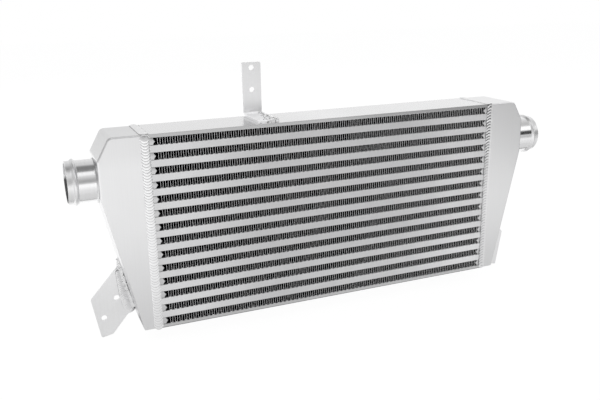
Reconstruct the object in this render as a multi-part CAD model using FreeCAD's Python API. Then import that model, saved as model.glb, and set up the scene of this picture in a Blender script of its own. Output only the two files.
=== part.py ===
"""Air-to-air intercooler: a brazed bar-and-plate core between two welded end tanks.

The cooling air passes through the core from front to rear, along Y, between
corrugated fins. The charge air enters one tank through its pipe, passes
through the flat passages between the fin rows along X, and leaves by the
other tank. Three folded brackets hold the whole thing.

Frame: the origin is the centre of the core's underside, +X points to the
right tank, +Y to the rear and +Z up. All lengths are in millimetres.
"""
import FreeCAD, Part
import math
import os

V = FreeCAD.Vector

# Core: overall size and the layers it is stacked from
core_length = 450.0
core_depth = 65.0
fin_rows = 14
fin_height = 8.5
bar_height = 6.7
sheet_thickness = 0.6
end_sheet_thickness = 4.15

# Closing bars: each has a vee nose that points into its passage
charge_bar_width = 6.5
end_bar_width = 6.0
bar_nose = 2.5
nose_gap = 0.3
end_bar_recess = 0.3

# Corrugated fins in the cooling rows and in the charge passages
fin_thickness = 0.25
fin_pitch = 6.7
fin_recess = 1.0
turbulator_thickness = 0.3
turbulator_pitch = 7.5
turbulator_recess = 3.0

# End tanks, measured outwards from the core's end and down from its top
tank_wall = 3.0
tank_top_reach = 41.0
tank_side_reach = 55.0
tank_bottom_reach = 19.0
tank_shoulder_drop = 25.0
tank_waist_drop = 68.0
tank_bend_radius = 7.0
tank_edge_chamfer = 1.2

# Charge pipes with a rolled bead that keeps the hose on; the right one is longer
pipe_outer_diameter = 48.3
pipe_wall = 2.0
pipe_drop = 52.0
left_pipe_reach = 31.5
right_pipe_reach = 37.0
pipe_insertion = 3.0
hose_bead_height = 2.2
hose_bead_width = 5.6
hose_bead_crown = 2.4
hose_bead_setback = 8.5

# Weld beads
core_weld_width = 10.0
core_weld_height = 2.0
core_weld_overlap = 1.5
fillet_weld_leg = 4.0
fillet_weld_crown = 0.6

# All three brackets are folded from the same plate
bracket_thickness = 3.0
bracket_hole_diameter = 6.5

# Top bracket: an upright leg at the rear edge and a foot that runs forwards
top_bracket_offset = -82.0
top_bracket_width = 24.0
top_leg_height = 65.0
top_foot_margin = 8.0
top_bend_radius = 3.0
top_hole_margin = 6.5
top_hole_spacing = 26.5
top_corner_radius = 1.5

# Lower brackets, in distances along the tank's slanted side from its lower
# corner and outwards from that side; the flange is folded to the rear
lower_flange_depth = 17.5
lower_bend_radius = 5.0
lower_flange_start = 6.5
lower_flange_end = 76.0
lower_shoulder = (67.5, 6.0)
lower_outer_corner = (40.0, 45.5)
lower_tip = (-11.0, 48.0)
lower_heel = (-11.5, 34.0)
lower_notch = (6.5, 10.0)
lower_inner_hole = (31.5, 16.5)
lower_outer_hole = (12.5, 37.7)
lower_corner_radius = 2.0
lower_notch_radius = 5.0

# Sizes that follow from the ones above
row_pitch = fin_height + bar_height + 2.0 * sheet_thickness
core_height = (fin_rows - 1) * row_pitch + fin_height + 2.0 * end_sheet_thickness
core_end = core_length / 2.0
core_front = -core_depth / 2.0
core_rear = core_depth / 2.0
pipe_radius = pipe_outer_diameter / 2.0
pipe_bore = pipe_radius - pipe_wall
pipe_height = core_height - pipe_drop
hole_radius = bracket_hole_diameter / 2.0


def box(x0, x1, y0, y1, z0, z1):
    """Returns a rectangular block between two opposite corners."""
    return Part.makeBox(x1 - x0, y1 - y0, z1 - z0, V(x0, y0, z0))


def rounded_wire(corners):
    """Returns a closed wire through (point, radius) corners with tangent arcs."""
    edges = []
    starts = []
    ends = []
    for i, (point, radius) in enumerate(corners):
        before = corners[i - 1][0]
        after = corners[(i + 1) % len(corners)][0]
        to_before = (before - point).normalize()
        to_after = (after - point).normalize()
        half_angle = to_before.getAngle(to_after) / 2.0
        run = radius / math.tan(half_angle)
        starts.append(point + to_before * run)
        ends.append(point + to_after * run)
        if radius > 0.0:
            bisector = (to_before + to_after).normalize()
            depth = radius / math.sin(half_angle) - radius
            edges.append(Part.Arc(starts[i], point + bisector * depth, ends[i]).toShape())
    for i in range(len(corners)):
        following = (i + 1) % len(corners)
        edges.append(Part.makeLine(ends[i], starts[following]))
    return Part.Wire(Part.__sortEdges__(edges))


def plate(corners, direction):
    """Returns the solid of a rounded outline swept along a direction."""
    return Part.Face(rounded_wire(corners)).extrude(direction)


def polygon_prism(points, direction):
    """Returns the solid of a straight-sided outline swept along a direction."""
    return Part.Face(Part.makePolygon(points + points[:1])).extrude(direction)


def corrugation(span, height, thickness, pitch):
    """Returns (distance, height) points round the section of a folded strip.

    The strip's folds touch both faces of a layer of the given height, centred
    on zero, and its walls have the given thickness and roughly the pitch.
    """
    walls = max(2, round(span / pitch))
    step = span / walls
    slant = thickness * math.hypot(height, step) / step
    crest = (height - slant) / 2.0
    middle = [(i * step - span / 2.0, crest if i % 2 else -crest) for i in range(walls + 1)]
    upper = [(s, h + slant / 2.0) for s, h in middle]
    lower = [(s, h - slant / 2.0) for s, h in reversed(middle)]
    return upper + lower


def cooling_layer(row):
    """Returns the underside height of a cooling row, counted from 0 at the bottom."""
    return end_sheet_thickness + row * row_pitch


def charge_layer(row):
    """Returns the underside height of a charge passage, counted from 0 at the bottom."""
    return cooling_layer(row) + fin_height + sheet_thickness


def make_cooling_fin(row):
    """Returns the corrugated fin of one cooling row, open from front to rear."""
    span = core_length - 2.0 * (end_bar_width + bar_nose + nose_gap)
    middle = cooling_layer(row) + fin_height / 2.0
    front = core_front + fin_recess
    section = corrugation(span, fin_height, fin_thickness, fin_pitch)
    points = [V(s, front, middle + h) for s, h in section]
    return polygon_prism(points, V(0.0, core_depth - 2.0 * fin_recess, 0.0))


def make_turbulator(row):
    """Returns the corrugated fin inside one charge passage, open from end to end."""
    span = core_depth - 2.0 * (charge_bar_width + bar_nose + nose_gap)
    middle = charge_layer(row) + bar_height / 2.0
    start = turbulator_recess - core_end
    section = corrugation(span, bar_height, turbulator_thickness, turbulator_pitch)
    points = [V(start, s, middle + h) for s, h in section]
    return polygon_prism(points, V(core_length - 2.0 * turbulator_recess, 0.0, 0.0))


def make_charge_bars(row):
    """Returns the front and rear bars that close one charge passage."""
    low = charge_layer(row)
    high = low + bar_height
    middle = (low + high) / 2.0
    bars = []
    for side in (-1.0, 1.0):
        face = side * core_depth / 2.0
        shoulder = face - side * charge_bar_width
        nose = shoulder - side * bar_nose
        outline = [(face, low), (face, high), (shoulder, high), (nose, middle), (shoulder, low)]
        points = [V(-core_end, y, z) for y, z in outline]
        bars.append(polygon_prism(points, V(core_length, 0.0, 0.0)))
    return Part.makeCompound(bars)


def make_end_bars(side):
    """Returns the bars that close one end of every cooling row; side is -1 or 1."""
    bars = []
    for row in range(fin_rows):
        low = cooling_layer(row)
        high = low + fin_height
        middle = (low + high) / 2.0
        face = side * core_end
        shoulder = face - side * end_bar_width
        nose = shoulder - side * bar_nose
        outline = [(face, low), (face, high), (shoulder, high), (nose, middle), (shoulder, low)]
        points = [V(x, core_front + end_bar_recess, z) for x, z in outline]
        bars.append(polygon_prism(points, V(0.0, core_depth - 2.0 * end_bar_recess, 0.0)))
    return Part.makeCompound(bars)


def make_parting_sheets():
    """Returns the thin sheets between the cooling rows and the charge passages."""
    sheets = []
    for row in range(fin_rows - 1):
        for low in (charge_layer(row) - sheet_thickness, charge_layer(row) + bar_height):
            sheets.append(box(-core_end, core_end, core_front, core_rear, low, low + sheet_thickness))
    return Part.makeCompound(sheets)


def make_end_sheet(low):
    """Returns the thick sheet that closes the core at its top or bottom."""
    return box(-core_end, core_end, core_front, core_rear, low, low + end_sheet_thickness)


def tank_outline(inner_end):
    """Returns the right tank's front outline as (point, radius) corners."""
    shoulder = core_height - tank_shoulder_drop
    waist = core_height - tank_waist_drop
    return [
        (V(inner_end, core_front, 0.0), 0.0),
        (V(core_end + tank_bottom_reach, core_front, 0.0), 0.0),
        (V(core_end + tank_side_reach, core_front, waist), tank_bend_radius),
        (V(core_end + tank_side_reach, core_front, shoulder), tank_bend_radius),
        (V(core_end + tank_top_reach, core_front, core_height), tank_bend_radius),
        (V(inner_end, core_front, core_height), 0.0),
    ]


def make_tank_envelope():
    """Returns the right tank as a filled block with its front and rear edges dressed off."""
    block = plate(tank_outline(core_end), V(0.0, core_depth, 0.0))
    edges = []
    for edge in block.Edges:
        on_seam = edge.BoundBox.XMax < core_end + tank_edge_chamfer
        across = edge.BoundBox.YLength > core_depth / 2.0
        if not on_seam and not across:
            edges.append(edge)
    return block.makeChamfer(tank_edge_chamfer, edges)


def make_tank(envelope):
    """Returns the right tank: an envelope hollowed to its wall and open to the core."""
    outline = Part.Face(rounded_wire(tank_outline(core_end - tank_wall)))
    hollow = outline.makeOffset2D(-tank_wall, join=0)
    cavity = hollow.extrude(V(0.0, core_depth - 2.0 * tank_wall, 0.0))
    cavity.translate(V(0.0, tank_wall, 0.0))
    inside = V(core_end + tank_top_reach / 2.0, 0.0, pipe_height)
    drill = Part.makeCylinder(pipe_radius, tank_side_reach, inside, V(1.0, 0.0, 0.0))
    return envelope.cut(cavity).cut(drill)


def turned(profile):
    """Returns the solid of (distance outwards, radius) points turned about the pipe's axis."""
    points = [V(x, 0.0, pipe_height + r) for x, r in profile]
    face = Part.Face(Part.makePolygon(points + points[:1]))
    return face.revolve(V(0.0, 0.0, pipe_height), V(1.0, 0.0, 0.0), 360.0)


def make_pipe(reach):
    """Returns a right-hand charge pipe with its hose bead near the open end."""
    inner = core_end + tank_side_reach - tank_wall - pipe_insertion
    mouth = core_end + tank_side_reach + reach
    middle = mouth - hose_bead_setback
    crest = pipe_radius + hose_bead_height
    return turned([
        (inner, pipe_bore),
        (inner, pipe_radius),
        (middle - hose_bead_width / 2.0, pipe_radius),
        (middle - hose_bead_crown / 2.0, crest),
        (middle + hose_bead_crown / 2.0, crest),
        (middle + hose_bead_width / 2.0, pipe_radius),
        (mouth, pipe_radius),
        (mouth, pipe_bore),
    ])


def make_pipe_weld(envelope):
    """Returns the fillet weld round the right pipe, seated on the tank's side."""
    face = core_end + tank_side_reach
    root = face - tank_wall
    toe = pipe_radius + fillet_weld_leg + tank_wall
    bead = turned([(root, pipe_radius), (root, toe), (face + fillet_weld_leg, pipe_radius)])
    return bead.cut(envelope)


def make_core_weld():
    """Returns the raised bead that runs round the right seam of core and tank.

    It is dressed off under the core, whose flat underside rests on pads.
    """
    inner = core_end - core_weld_overlap
    middle = inner + core_weld_width / 2.0
    chord = Part.makeLine(V(inner, 0.0, 0.0), V(inner + core_weld_width, 0.0, 0.0))
    arc = Part.Arc(V(inner, 0.0, 0.0), V(middle, 0.0, -core_weld_height),
                   V(inner + core_weld_width, 0.0, 0.0)).toShape()
    profile = Part.Wire([chord, arc])
    corners = [
        (0.0, 0.0),
        (core_rear, 0.0),
        (core_rear, core_height),
        (core_front, core_height),
        (core_front, 0.0),
        (0.0, 0.0),
    ]
    spine = Part.makePolygon([V(middle, y, z) for y, z in corners])
    right_corner = 1
    bead = spine.makePipeShell([profile], True, False, right_corner)
    outside = core_rear + core_weld_height
    return bead.cut(box(inner, core_end, -outside, outside, -core_weld_height, 0.0))


def make_top_bracket():
    """Returns the top bracket: a strip folded at the core's upper rear edge."""
    low = core_height
    high = core_height + top_leg_height
    foot_end = core_front + top_foot_margin
    left = top_bracket_offset - top_bracket_width / 2.0
    outer = top_bend_radius + bracket_thickness
    corners = [
        (V(left, foot_end, low), 0.0),
        (V(left, core_rear, low), outer),
        (V(left, core_rear, high), 0.0),
        (V(left, core_rear - bracket_thickness, high), 0.0),
        (V(left, core_rear - bracket_thickness, low + bracket_thickness), top_bend_radius),
        (V(left, foot_end, low + bracket_thickness), 0.0),
    ]
    strip = plate(corners, V(top_bracket_width, 0.0, 0.0))
    ends = [e for e in strip.Edges if e.BoundBox.YLength > bracket_thickness / 2.0
            and e.BoundBox.ZMin > high - bracket_thickness and e.BoundBox.XLength < bracket_thickness / 2.0]
    strip = strip.makeFillet(top_corner_radius, ends)
    for drop in (top_hole_margin, top_hole_margin + top_hole_spacing):
        start = V(top_bracket_offset, core_rear + bracket_thickness, high - drop)
        drill = Part.makeCylinder(hole_radius, 3.0 * bracket_thickness, start, V(0.0, -1.0, 0.0))
        strip = strip.cut(drill)
    return strip


def make_top_bracket_weld():
    """Returns the two fillet welds along the foot of the top bracket."""
    low = core_height
    start = core_front + top_foot_margin
    length = core_depth - top_foot_margin - top_bend_radius - bracket_thickness
    beads = []
    for side in (-1.0, 1.0):
        root = top_bracket_offset + side * top_bracket_width / 2.0
        toe = root + side * fillet_weld_leg
        crown = fillet_weld_leg / 2.0 + fillet_weld_crown
        outline = [
            (root, low),
            (toe, low),
            (root + side * crown, low + crown),
            (root, low + bracket_thickness),
        ]
        points = [V(x, start, z) for x, z in outline]
        beads.append(polygon_prism(points, V(0.0, length, 0.0)))
    return Part.makeCompound(beads)


def slant_frame():
    """Returns the lower corner of the right tank's slanted side, its run and its outward normal."""
    corner = V(core_end + tank_bottom_reach, 0.0, 0.0)
    waist = V(core_end + tank_side_reach, 0.0, core_height - tank_waist_drop)
    run = (waist - corner).normalize()
    return corner, run, V(run.z, 0.0, -run.x)


def on_slant(along, outwards, y):
    """Returns the point at a place along and outwards from the tank's slanted side."""
    corner, run, normal = slant_frame()
    return corner + run * along + normal * outwards + V(0.0, y, 0.0)


def make_lower_bracket():
    """Returns the right lower bracket: a cut plate whose flange lies on the tank."""
    front = core_rear - lower_flange_depth
    outer = lower_bend_radius + bracket_thickness
    far = lower_tip[1] + bracket_thickness
    first = lower_tip[0] - bracket_thickness
    run = slant_frame()[1]
    angle = [
        (on_slant(first, far, front), 0.0),
        (on_slant(first, 0.0, front), outer),
        (on_slant(first, 0.0, core_rear), 0.0),
        (on_slant(first, bracket_thickness, core_rear), 0.0),
        (on_slant(first, bracket_thickness, front + bracket_thickness), lower_bend_radius),
        (on_slant(first, far, front + bracket_thickness), 0.0),
    ]
    folded = plate(angle, run * (lower_flange_end - first + bracket_thickness))
    outline = [
        (on_slant(lower_flange_end, 0.0, front), 0.0),
        (on_slant(*lower_shoulder, front), 0.0),
        (on_slant(*lower_outer_corner, front), lower_corner_radius),
        (on_slant(*lower_tip, front), lower_corner_radius),
        (on_slant(*lower_heel, front), lower_corner_radius),
        (on_slant(*lower_notch, front), lower_notch_radius),
        (on_slant(lower_flange_start, 0.0, front), 0.0),
    ]
    bracket = folded.common(plate(outline, V(0.0, lower_flange_depth, 0.0)))
    for hole in (lower_inner_hole, lower_outer_hole):
        start = on_slant(*hole, front - bracket_thickness)
        drill = Part.makeCylinder(hole_radius, 3.0 * bracket_thickness, start, V(0.0, 1.0, 0.0))
        bracket = bracket.cut(drill)
    return bracket


def make_lower_bracket_weld(bracket):
    """Returns the weld that fills the groove between the bracket's bend and the tank."""
    front = core_rear - lower_flange_depth
    outer = lower_bend_radius + bracket_thickness
    width = outer - bracket_thickness / 2.0
    depth = outer - bracket_thickness
    start = lower_flange_start + fillet_weld_crown
    end = lower_shoulder[0]
    outline = [(0.0, front - fillet_weld_crown), (width / 2.0, front - 2.0 * fillet_weld_crown),
               (width, front), (width, front + depth), (0.0, front + depth)]
    points = [on_slant(start, n, y) for n, y in outline]
    bead = polygon_prism(points, slant_frame()[1] * (end - start))
    return bead.cut(bracket)


def mirrored(shape):
    """Returns the left-hand twin of a right-hand piece."""
    return shape.mirror(V(0.0, 0.0, 0.0), V(1.0, 0.0, 0.0))


def single(shape):
    """Returns the one solid that a cut or a common left, without its wrapper."""
    return shape.Solids[0] if len(shape.Solids) == 1 else shape


def build():
    """Returns every piece of the intercooler by its name."""
    pieces = {}
    for row in range(fin_rows):
        pieces[f"cooling_fin_{row + 1:02d}"] = make_cooling_fin(row)
    for row in range(fin_rows - 1):
        pieces[f"charge_bars_{row + 1:02d}"] = make_charge_bars(row)
        pieces[f"turbulator_{row + 1:02d}"] = make_turbulator(row)
    pieces["left_end_bars"] = make_end_bars(-1.0)
    pieces["right_end_bars"] = make_end_bars(1.0)
    pieces["parting_sheets"] = make_parting_sheets()
    pieces["bottom_end_sheet"] = make_end_sheet(0.0)
    pieces["top_end_sheet"] = make_end_sheet(core_height - end_sheet_thickness)
    pieces["top_bracket"] = make_top_bracket()
    pieces["top_bracket_weld"] = make_top_bracket_weld()
    envelope = make_tank_envelope()
    bracket = make_lower_bracket()
    handed = {
        "tank": make_tank(envelope),
        "lower_bracket": bracket,
    }
    for name, shape in handed.items():
        pieces[f"right_{name}"] = single(shape)
        pieces[f"left_{name}"] = single(mirrored(shape))
    left_pipe = single(mirrored(make_pipe(left_pipe_reach)))
    right_pipe = single(make_pipe(right_pipe_reach))
    pieces["charge_pipes"] = Part.makeCompound([left_pipe, right_pipe])
    twins = {
        "pipe_welds": make_pipe_weld(envelope),
        "core_welds": make_core_weld(),
        "lower_bracket_welds": make_lower_bracket_weld(bracket),
    }
    for name, shape in twins.items():
        pieces[name] = Part.makeCompound([single(mirrored(shape)), single(shape)])
    return pieces


os.makedirs("parts", exist_ok=True)
for node, piece in build().items():
    piece.exportStep(f"parts/{node}.step")
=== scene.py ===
"""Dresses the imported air-to-air intercooler for a studio picture.

The core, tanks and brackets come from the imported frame. This script adds what
the eye looks for on such a part: finely folded cooling fins, rippled weld
beads, turned charge pipes, softened plate edges and the finish of each metal.

Frame: the origin is the centre of the core's underside, +X points to the
right tank, +Y to the rear and +Z up. Lengths are in metres.
"""
import logging
import math
import random
from collections.abc import Callable, Iterable
from dataclasses import dataclass, replace
from enum import Enum

import bmesh
import bpy
from mathutils import Matrix, Vector


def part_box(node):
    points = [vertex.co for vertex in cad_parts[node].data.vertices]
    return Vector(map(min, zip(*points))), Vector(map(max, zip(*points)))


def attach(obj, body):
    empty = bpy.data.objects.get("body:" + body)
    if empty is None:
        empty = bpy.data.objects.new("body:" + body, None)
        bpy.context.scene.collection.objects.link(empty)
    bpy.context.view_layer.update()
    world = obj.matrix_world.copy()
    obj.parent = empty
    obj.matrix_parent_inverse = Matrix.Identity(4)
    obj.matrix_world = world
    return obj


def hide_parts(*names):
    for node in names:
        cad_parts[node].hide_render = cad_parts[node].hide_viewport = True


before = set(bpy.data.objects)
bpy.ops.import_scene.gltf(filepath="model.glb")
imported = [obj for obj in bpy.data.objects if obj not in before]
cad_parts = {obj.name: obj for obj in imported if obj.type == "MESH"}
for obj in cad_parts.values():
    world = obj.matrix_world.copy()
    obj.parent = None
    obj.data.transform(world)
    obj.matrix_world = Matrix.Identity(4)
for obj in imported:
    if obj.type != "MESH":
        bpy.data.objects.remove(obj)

Pair = tuple[float, float]
Triple = tuple[float, float, float]
Colour = tuple[float, float, float, float]
Stops = tuple[Pair, ...]
Material = bpy.types.Material
Piece = bpy.types.Object
Socket = bpy.types.NodeSocket
Test = Callable[[bmesh.types.BMFace | bmesh.types.BMEdge], bool]

log = logging.getLogger("intercooler")

MM = 0.001
BODY = "root"
FIRST_FIN = "cooling_fin_01"
FIN_ROWS = sum(node.startswith("cooling_fin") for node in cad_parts)

# How far the end sheets and the fins reach forwards and to the rear
SHEET_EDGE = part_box("top_end_sheet")[1].y
FIN_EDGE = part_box(FIRST_FIN)[1].y


class Side(Enum):
    """The two ends of the core."""

    LEFT = -1.0
    RIGHT = 1.0

    @property
    def word(self) -> str:
        """Returns the side's name as the nodes spell it."""
        return self.name.lower()


class Grain(Enum):
    """The direction in which a finish is brushed, as coordinate stretches."""

    LENGTHWISE = (14.0, 900.0, 900.0)
    UPRIGHT = (700.0, 700.0, 16.0)
    TURNED = (2600.0, 18.0, 18.0)
    CAST = (420.0, 420.0, 420.0)


@dataclass(frozen=True)
class Grade:
    """A change of tone with the distance from a plane through the frame's origin.

    The axis is the letter of the one along which the distance is counted. The
    reach holds the distances at which the change starts and ends, and the
    scale what the tone is multiplied by at each of them. Grades paint light
    and shade into a finish's tone.
    """

    axis: str
    reach: Pair
    scale: Pair


@dataclass(frozen=True)
class Finish:
    """A metal surface: its tone, its gloss, the marks that working left on it, and the light and shade
    that its grades paint into its tone.
    """

    name: str
    tone: float
    roughness: float
    blueness: float = 0.005
    metallic: float = 1.0
    sheen: float = 0.5
    grain: Grain = Grain.CAST
    grain_depth: float = 0.02 * MM
    grain_contrast: float = 0.06
    cloud_size: float = 50.0 * MM
    cloud_contrast: float = 0.06
    speck_density: float = 0.0
    grades: tuple[Grade, ...] = ()

    @property
    def colour(self) -> Triple:
        """Returns the gray of the metal, which is a touch blue."""
        return self.tone, self.tone, self.tone + self.blueness


# The core's finishes
# Painted shade: the fin sheet turns almost black deeper in than its front and rear rims. This stands for
# the shade inside the fin channels.
FIN_SHEET_SHADED_INWARDS = Finish("dull_fin_sheet", tone=0.76, roughness=0.6, metallic=0.0, sheen=0.0,
                   grades=(Grade("Y", (FIN_EDGE - 0.45 * MM, FIN_EDGE), (0.003, 1.0)),))
# Painted light: the bars and parting sheets are lighter towards both ends of the core and lighter low
# down.
BRAZED_BAR_PAINTED_LIGHT = Finish("brazed_bar", tone=0.62, roughness=0.46, grain_contrast=0.12,
                    cloud_size=20.0 * MM, cloud_contrast=0.12,
                    grades=(Grade("X", (80.0 * MM, 200.0 * MM), (1.0, 1.23)),
                            Grade("Z", (20.0 * MM, 90.0 * MM), (1.16, 1.0))))
CUT_BAR = Finish("cut_bar", tone=0.66, roughness=0.42)
FRESH_CUT = Finish("fresh_cut", tone=0.92, roughness=0.5, metallic=0.3)
# Painted shade: the top sheet's front and rear edges are darker, and its tone falls slightly away from
# the middle.
TOP_SHEET = Finish("rolled_end_sheet", tone=0.82, roughness=0.24, grain=Grain.LENGTHWISE,
                   grain_depth=0.0, grain_contrast=0.03,
                   grades=(Grade("Y", (SHEET_EDGE - 0.5 * MM, SHEET_EDGE - 0.2 * MM), (1.0, 0.57)),
                           Grade("X", (0.0, 60.0 * MM), (1.0, 0.945))))
# Painted shade: the bottom sheet's front and rear edges are darker, and its underside much darker.
BOTTOM_SHEET = Finish("lower_end_sheet", tone=0.80, roughness=0.3, grain=Grain.LENGTHWISE,
                      grain_depth=0.0, grain_contrast=0.03,
                      grades=(Grade("Y", (SHEET_EDGE - 0.5 * MM, SHEET_EDGE - 0.2 * MM), (1.0, 0.76)),
                              Grade("Z", (0.6 * MM, 0.9 * MM), (0.45, 1.0))))

# The plates' finishes
TANK_PLATE = Finish("satin_tank_plate", tone=0.80, roughness=0.34, grain=Grain.UPRIGHT,
                    cloud_size=60.0 * MM, cloud_contrast=0.05)
# Painted shade: the left tank darkens towards its top.
LEFT_TANK = replace(TANK_PLATE, grades=(Grade("Z", (190.0 * MM, 215.0 * MM), (1.0, 0.955)),))
# Painted shade and light: the right tank darkens towards its bottom and has a painted highlight on its
# top.
RIGHT_TANK = replace(TANK_PLATE, grades=(Grade("Z", (20.0 * MM, 80.0 * MM), (0.96, 1.0)),
                                         Grade("Z", (227.0 * MM, 229.5 * MM), (1.0, 1.06))))
# Painted light: the bracket plates are lighter towards their lower ends.
BRACKET_PLATE = Finish("bracket_plate", tone=0.87, roughness=0.36, grain=Grain.UPRIGHT,
                       grain_contrast=0.08, cloud_size=30.0 * MM, cloud_contrast=0.08,
                       grades=(Grade("Z", (70.0 * MM, 200.0 * MM), (1.09, 1.0)),))
TOP_BRACKET_PLATE = replace(BRACKET_PLATE, name="top_bracket_plate",
                            grades=(Grade("Z", (236.0 * MM, 262.0 * MM), (1.09, 1.0)),))
SCOURED_FOOT = Finish("scoured_foot", tone=0.90, roughness=0.6, metallic=0.15, grain_contrast=0.1)

# The pipes' finishes
TURNED_TUBE = Finish("turned_tube", tone=0.82, roughness=0.17, grain=Grain.TURNED, grain_contrast=0.2)
FORMED_MOUTH = Finish("formed_mouth", tone=0.84, roughness=0.36, grain=Grain.TURNED, grain_contrast=0.2)
SHADED_BORE = Finish("shaded_bore", tone=0.88, roughness=0.5, metallic=0.2,
                     grades=(Grade("Z", (176.0 * MM, 182.0 * MM), (0.10, 1.0)),))

# The finishes of weld metal, and the darker finishes that paint the shade in the creases between its
# ripples
WELD = Finish("weld_metal", tone=0.86, roughness=0.30, cloud_size=10.0 * MM, cloud_contrast=0.10)
BRIGHT_WELD = Finish("bright_weld_metal", tone=0.93, roughness=0.32,
                     cloud_size=10.0 * MM, cloud_contrast=0.08)
ROUGH_WELD = Finish("rough_weld_metal", tone=0.95, roughness=0.30, metallic=0.9, speck_density=0.19)
SOOTY_WELD = Finish("sooty_weld_metal", tone=0.93, roughness=0.34, speck_density=0.15)
# Painted shade: the pipe welds darken towards the top of the pipe.
PIPE_WELD_SHADED_ON_TOP = Finish("heated_weld_metal", tone=0.86, roughness=0.30,
                     grades=(Grade("Z", (174.0 * MM, 184.0 * MM), (1.0, 0.55)),))
# The crease finishes are painted shade, darker than the weld metal they lie in.
CREASE = Finish("weld_crease", tone=0.46, roughness=0.5)
DEEP_CREASE = Finish("deep_weld_crease", tone=0.13, roughness=0.5, blueness=0.002,
                     grades=(Grade("Z", (90.0 * MM, 170.0 * MM), (5.0, 1.0)),))
SOFT_CREASE = Finish("soft_weld_crease", tone=0.50, roughness=0.5,
                     grades=(Grade("Z", (90.0 * MM, 180.0 * MM), (1.4, 1.0)),))
FAINT_CREASE = Finish("faint_weld_crease", tone=0.64, roughness=0.5)


class Wiring:
    """Adds nodes to one tree and joins their sockets."""

    def __init__(self, tree: bpy.types.NodeTree) -> None:
        """Takes the tree to work in."""
        self.tree = tree

    def feed(self, socket: Socket, value: object) -> None:
        """Joins a socket to another one, or writes a plain value into it.

        Args:
            socket: The socket that is fed.
            value: The socket or the value that goes in.
        """
        if isinstance(value, Socket):
            self.tree.links.new(value, socket)
        else:
            socket.default_value = value

    def node(self, kind: str, inputs: dict[str | int, object] | None = None,
             **settings: object) -> bpy.types.Node:
        """Adds one node.

        Args:
            kind: Its type, as it stands after ShaderNode.
            inputs: What its sockets are fed with, by name or number.
            settings: Its settings by name.

        Returns:
            The node.
        """
        node = self.tree.nodes.new(f"ShaderNode{kind}")
        for name, value in settings.items():
            setattr(node, name, value)
        for name, value in (inputs or {}).items():
            self.feed(node.inputs[name], value)
        return node

    def math(self, operation: str, *values: Socket | float) -> Socket:
        """Returns what one operation makes of its values."""
        return self.node("Math", dict(enumerate(values)), operation=operation).outputs["Value"]

    def scaled(self, colour: object, factor: Socket) -> Socket:
        """Returns a colour times a factor."""
        return self.node("VectorMath", {0: colour, "Scale": factor}, operation="SCALE").outputs["Vector"]

    def mixed(self, factor: Socket, first: object, second: object) -> Socket:
        """Returns the colour between two that a factor picks."""
        inputs = {"Factor": factor, "A": first, "B": second}
        return self.node("Mix", inputs, data_type="RGBA").outputs["Result"]

    def blended(self, factor: Socket, first: Socket, second: Socket) -> Socket:
        """Returns the surface between two that a factor picks."""
        return self.node("MixShader", {"Fac": factor, 1: first, 2: second}).outputs["Shader"]

    def ranged(self, value: Socket, reach: tuple[object, object], levels: Pair = (0.0, 1.0),
               **settings: object) -> Socket:
        """Turns one range of values into another.

        Args:
            value: The value that comes in.
            reach: Where its range starts and ends.
            levels: What comes out at each of them.
            settings: The node's settings by name.

        Returns:
            The value that comes out.
        """
        inputs = {"Value": value, "From Min": reach[0], "From Max": reach[1],
                  "To Min": levels[0], "To Max": levels[1]}
        return self.node("MapRange", inputs, **settings).outputs["Result"]

    def banded(self, value: Socket, stops: Stops) -> Socket:
        """Turns a value into a gray by a row of stops.

        Args:
            value: The value, from 0 to 1.
            stops: The place and tone of each stop, in order.

        Returns:
            The gray.
        """
        node = self.node("ValToRGB", {"Fac": value})
        ramp = node.color_ramp
        ramp.interpolation = "EASE"
        while len(ramp.elements) > 1:
            ramp.elements.remove(ramp.elements[-1])
        for i, (place, tone) in enumerate(stops):
            stop = ramp.elements[0] if i == 0 else ramp.elements.new(place)
            stop.position = place
            stop.color = (tone, tone, tone, 1.0)
        return node.outputs["Color"]


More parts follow.
